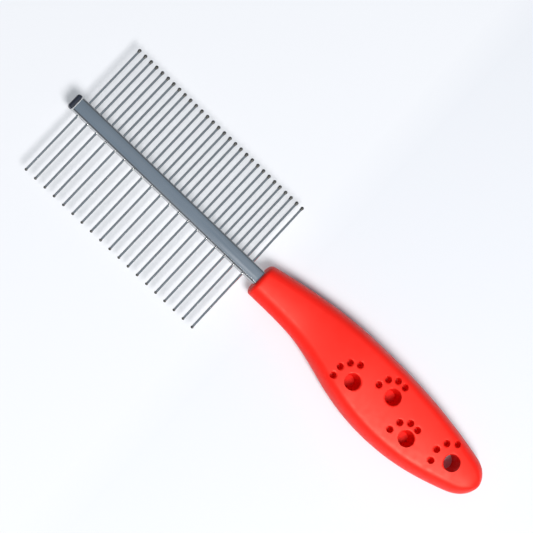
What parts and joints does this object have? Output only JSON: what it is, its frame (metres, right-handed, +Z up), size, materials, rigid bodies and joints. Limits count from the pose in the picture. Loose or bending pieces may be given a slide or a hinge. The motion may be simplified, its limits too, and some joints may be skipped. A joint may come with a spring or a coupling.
{
  "type": "steel grooming comb",
  "caption": "Double-sided steel grooming comb: a fine and a coarse row of round pins on a tubular spine, with a contoured red handle decorated with paw prints.",
  "frame": {"origin": "centre of the comb's length and width, on the plane that the flat back of the handle rests on", "axes": "+X from the head to the handle's butt, +Y towards the fine row of pins, +Z up out of the handle's decorated face"},
  "size_m": [0.2, 0.0586, 0.0126],
  "materials": {
    "spine": "satin",
    "core": "drawn, unpolished",
    "plug": "moulded, fine texture",
    "handle": "semi-gloss moulded",
    "pins": "polished"
  },
  "bodies": {
    "root": {"spine_tube": "spine", "core_bar": "core", "end_plug": "plug", "handle": "handle", "fine_pin_01": "pins", "fine_pin_02": "pins", "fine_pin_03": "pins", "fine_pin_04": "pins", "fine_pin_05": "pins", "fine_pin_06": "pins", "fine_pin_07": "pins", "fine_pin_08": "pins", "fine_pin_09": "pins", "fine_pin_10": "pins", "fine_pin_11": "pins", "fine_pin_12": "pins", "fine_pin_13": "pins", "fine_pin_14": "pins", "fine_pin_15": "pins", "fine_pin_16": "pins", "fine_pin_17": "pins", "fine_pin_18": "pins", "fine_pin_19": "pins", "fine_pin_20": "pins", "fine_pin_21": "pins", "fine_pin_22": "pins", "fine_pin_23": "pins", "fine_pin_24": "pins", "fine_pin_25": "pins", "fine_pin_26": "pins", "fine_pin_27": "pins", "fine_pin_28": "pins", "fine_pin_29": "pins", "fine_pin_30": "pins", "coarse_pin_01": "pins", "coarse_pin_02": "pins", "coarse_pin_03": "pins", "coarse_pin_04": "pins", "coarse_pin_05": "pins", "coarse_pin_06": "pins", "coarse_pin_07": "pins", "coarse_pin_08": "pins", "coarse_pin_09": "pins", "coarse_pin_10": "pins", "coarse_pin_11": "pins", "coarse_pin_12": "pins", "coarse_pin_13": "pins", "coarse_pin_14": "pins", "coarse_pin_15": "pins", "coarse_pin_16": "pins", "coarse_pin_17": "pins", "coarse_pin_18": "pins", "coarse_pin_19": "pins"}
  },
  "joints": []
}
